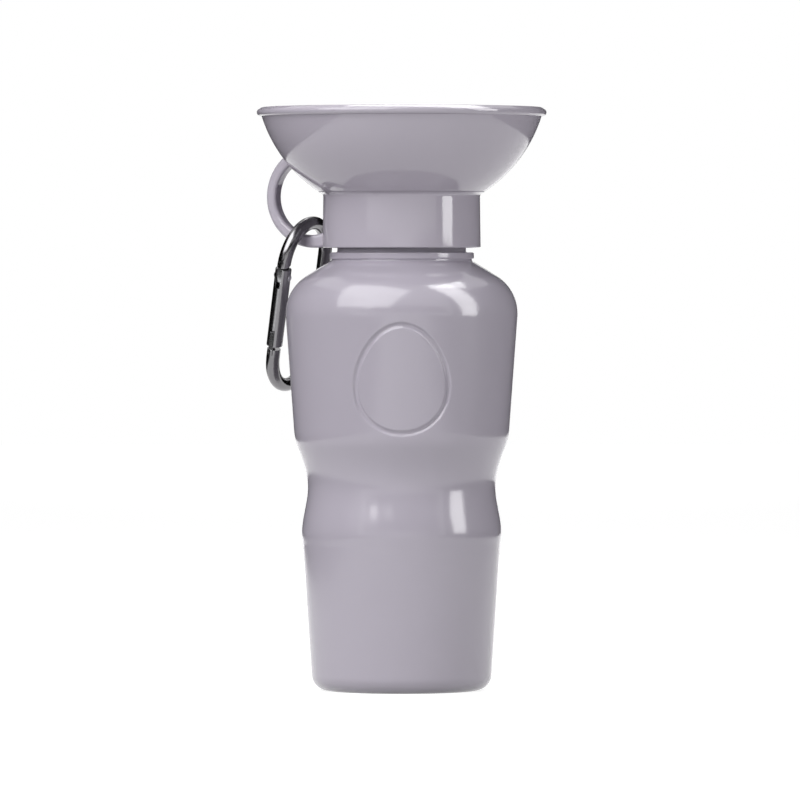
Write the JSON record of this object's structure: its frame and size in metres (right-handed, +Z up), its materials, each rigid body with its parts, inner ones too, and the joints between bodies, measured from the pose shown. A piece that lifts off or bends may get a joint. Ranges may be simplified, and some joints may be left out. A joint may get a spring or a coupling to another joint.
{
  "type": "dog travel water bottle",
  "caption": "Squeeze bottle with a screw-on drinking bowl for a dog, a carry loop and a spring-gate carabiner; a squeeze fills the bowl through a twist valve.",
  "frame": {"origin": "middle of the base, on the surface that the bottle stands on", "axes": "+Z up along the bottle, -Y to the front with the groove, the carry loop points to -X and slightly to +Y"},
  "size_m": [0.1072, 0.1072, 0.2157],
  "materials": {
    "bottle_plastic": "semi-gloss lavender grey squeeze plastic",
    "bowl_plastic": "glossy lavender grey moulded plastic",
    "inner_plastic": "pale satin moulded plastic",
    "seal_rubber": "soft matte silicone",
    "gunmetal": "gunmetal grey anodised",
    "steel_pins": "bright steel"
  },
  "bodies": {
    "bottle": {"squeeze_bottle": "bottle_plastic", "neck_insert": "inner_plastic", "insert_seal": "seal_rubber", "dip_tube": "inner_plastic", "stopper": "seal_rubber"},
    "lift_ring": {"neck_gasket": "seal_rubber"},
    "bowl": {"bowl": "bowl_plastic", "collar": "bowl_plastic", "threaded_liner": "inner_plastic", "sleeve_seal": "seal_rubber", "diffuser_cap": "bowl_plastic"},
    "carabiner": {"carabiner_frame": "gunmetal"},
    "gate": {"carabiner_gate": "gunmetal", "gate_rivet": "steel_pins", "latch_pin": "steel_pins", "gate_spring": "steel_pins"},
    "plunger": {"spring_plunger": "steel_pins"}
  },
  "joints": [
    {"name": "bowl_lift", "type": "slide", "parent": "bottle", "child": "lift_ring", "axis": [0, 0, 1], "range_m": [0, 0.0051]},
    {"name": "bowl_turn", "type": "hinge", "parent": "lift_ring", "child": "bowl", "pos_m": [0, 0, 0.17], "axis": [0, 0, 1], "range_deg": [0, 450]},
    {"name": "carabiner_swing", "type": "hinge", "parent": "bowl", "child": "carabiner", "pos_m": [-0.03452, 0.01465, 0.17267], "axis": [0.5, 0.866, 0], "range_deg": [0, 110]},
    {"name": "gate_open", "type": "hinge", "parent": "carabiner", "child": "gate", "pos_m": [-0.04413, 0.00881, 0.15319], "axis": [0.8345, -0.4818, -0.2672], "range_deg": [0, 25], "stiffness_Nm_per_rad": 0.02, "springref_deg": -34.38},
    {"name": "plunger_slide", "type": "slide", "parent": "gate", "child": "plunger", "axis": [-0.1177, 0.3179, -0.9408], "range_m": [0, 0.0008], "deforming": ["gate_spring"]}
  ],
  "couplings": [
    {"joint": "bowl_lift", "follows": "bowl_turn", "m_per_rad": 0.00063662},
    {"joint": "plunger_slide", "follows": "gate_open", "m_per_rad": 0.00165}
  ]
}
